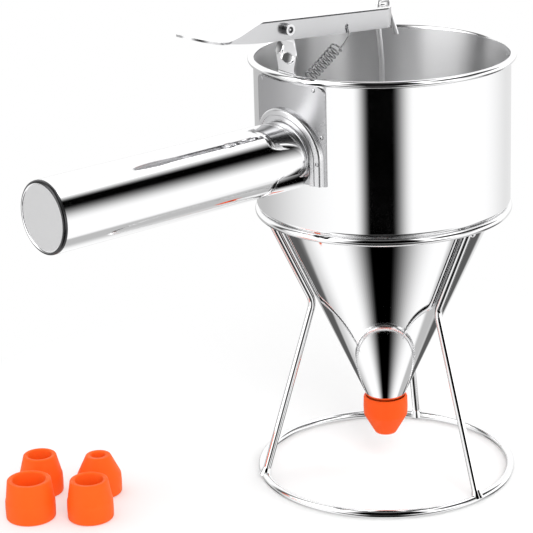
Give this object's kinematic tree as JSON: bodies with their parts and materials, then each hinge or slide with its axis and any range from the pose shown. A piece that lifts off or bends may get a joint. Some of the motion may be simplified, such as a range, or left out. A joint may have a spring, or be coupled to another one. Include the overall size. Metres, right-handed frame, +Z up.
{
  "type": "batter dispenser",
  "caption": "Steel funnel cup with a tubular side handle and a sprung thumb lever that lifts a valve rod, on a waisted wire stand, with a silicone outlet tip and spare tips.",
  "frame": {"origin": "on the table, under the funnel's axis at the centre of the stand's base ring", "axes": "+Z up along the funnel's axis; the handle and the lever's thumb tab point to -X"},
  "size_m": [0.216, 0.1419, 0.1981],
  "materials": {
    "cup_steel": "mirror outside, fine circular brushing inside",
    "silicone": "matte silicone",
    "handle_steel": "mirror polished",
    "cap_steel": "satin face, polished edge",
    "lever_steel": "polished, with press marks",
    "pin_steel": "turned",
    "weld_steel": "spot weld",
    "spring_steel": "drawn wire",
    "rod_steel": "polished",
    "wire_steel": "bright wire"
  },
  "bodies": {
    "stand": {"top_ring": "wire_steel", "base_ring": "wire_steel", "leg_1": "wire_steel", "leg_2": "wire_steel", "leg_3": "wire_steel", "stand_welds": "weld_steel"},
    "funnel": {"cup_shell": "cup_steel", "cone_shell": "cup_steel", "outlet_spout": "cup_steel", "handle_tube": "handle_steel", "handle_cap": "cap_steel", "handle_arch": "handle_steel", "saddle_plate": "handle_steel", "saddle_welds": "weld_steel", "pivot_pin": "pin_steel", "lever_bracket": "lever_steel", "bracket_welds": "weld_steel", "return_spring": "spring_steel", "spring_eye": "spring_steel"},
    "lever": {"lever": "lever_steel"},
    "rod": {"pull_rod": "rod_steel", "valve_plug": "rod_steel"},
    "fitted_tip": {"silicone_tip": "silicone"},
    "spare_1": {"spare_tip_1": "silicone"},
    "spare_2": {"spare_tip_2": "silicone"},
    "spare_3": {"spare_tip_3": "silicone"},
    "spare_4": {"spare_tip_4": "silicone"}
  },
  "joints": [
    {"name": "funnel_lift", "type": "slide", "parent": "stand", "child": "funnel", "axis": [0, 0, 1], "range_m": [0, 0.11]},
    {"name": "lever_pivot", "type": "hinge", "parent": "funnel", "child": "lever", "pos_m": [-0.054, 0, 0.1937], "axis": [0, -1, 0], "range_deg": [0, 14], "stiffness_Nm_per_rad": 0.25, "springref_deg": -17.19, "deforming": ["return_spring"]},
    {"name": "rod_lift", "type": "slide", "parent": "funnel", "child": "rod", "axis": [0, 0, 1], "range_m": [0, 0.0137]},
    {"name": "tip_off", "type": "slide", "parent": "funnel", "child": "fitted_tip", "axis": [0, 0, -1], "range_m": [0, 0.015]},
    {"name": "spare_lift_1", "type": "slide", "parent": "stand", "child": "spare_1", "axis": [0, 0, 1], "range_m": [0, 0.05]},
    {"name": "spare_lift_2", "type": "slide", "parent": "stand", "child": "spare_2", "axis": [0, 0, 1], "range_m": [0, 0.05]},
    {"name": "spare_lift_3", "type": "slide", "parent": "stand", "child": "spare_3", "axis": [0, 0, 1], "range_m": [0, 0.05]},
    {"name": "spare_lift_4", "type": "slide", "parent": "stand", "child": "spare_4", "axis": [0, 0, 1], "range_m": [0, 0.05]}
  ],
  "couplings": [
    {"joint": "rod_lift", "follows": "lever_pivot", "m_per_rad": 0.0555}
  ]
}
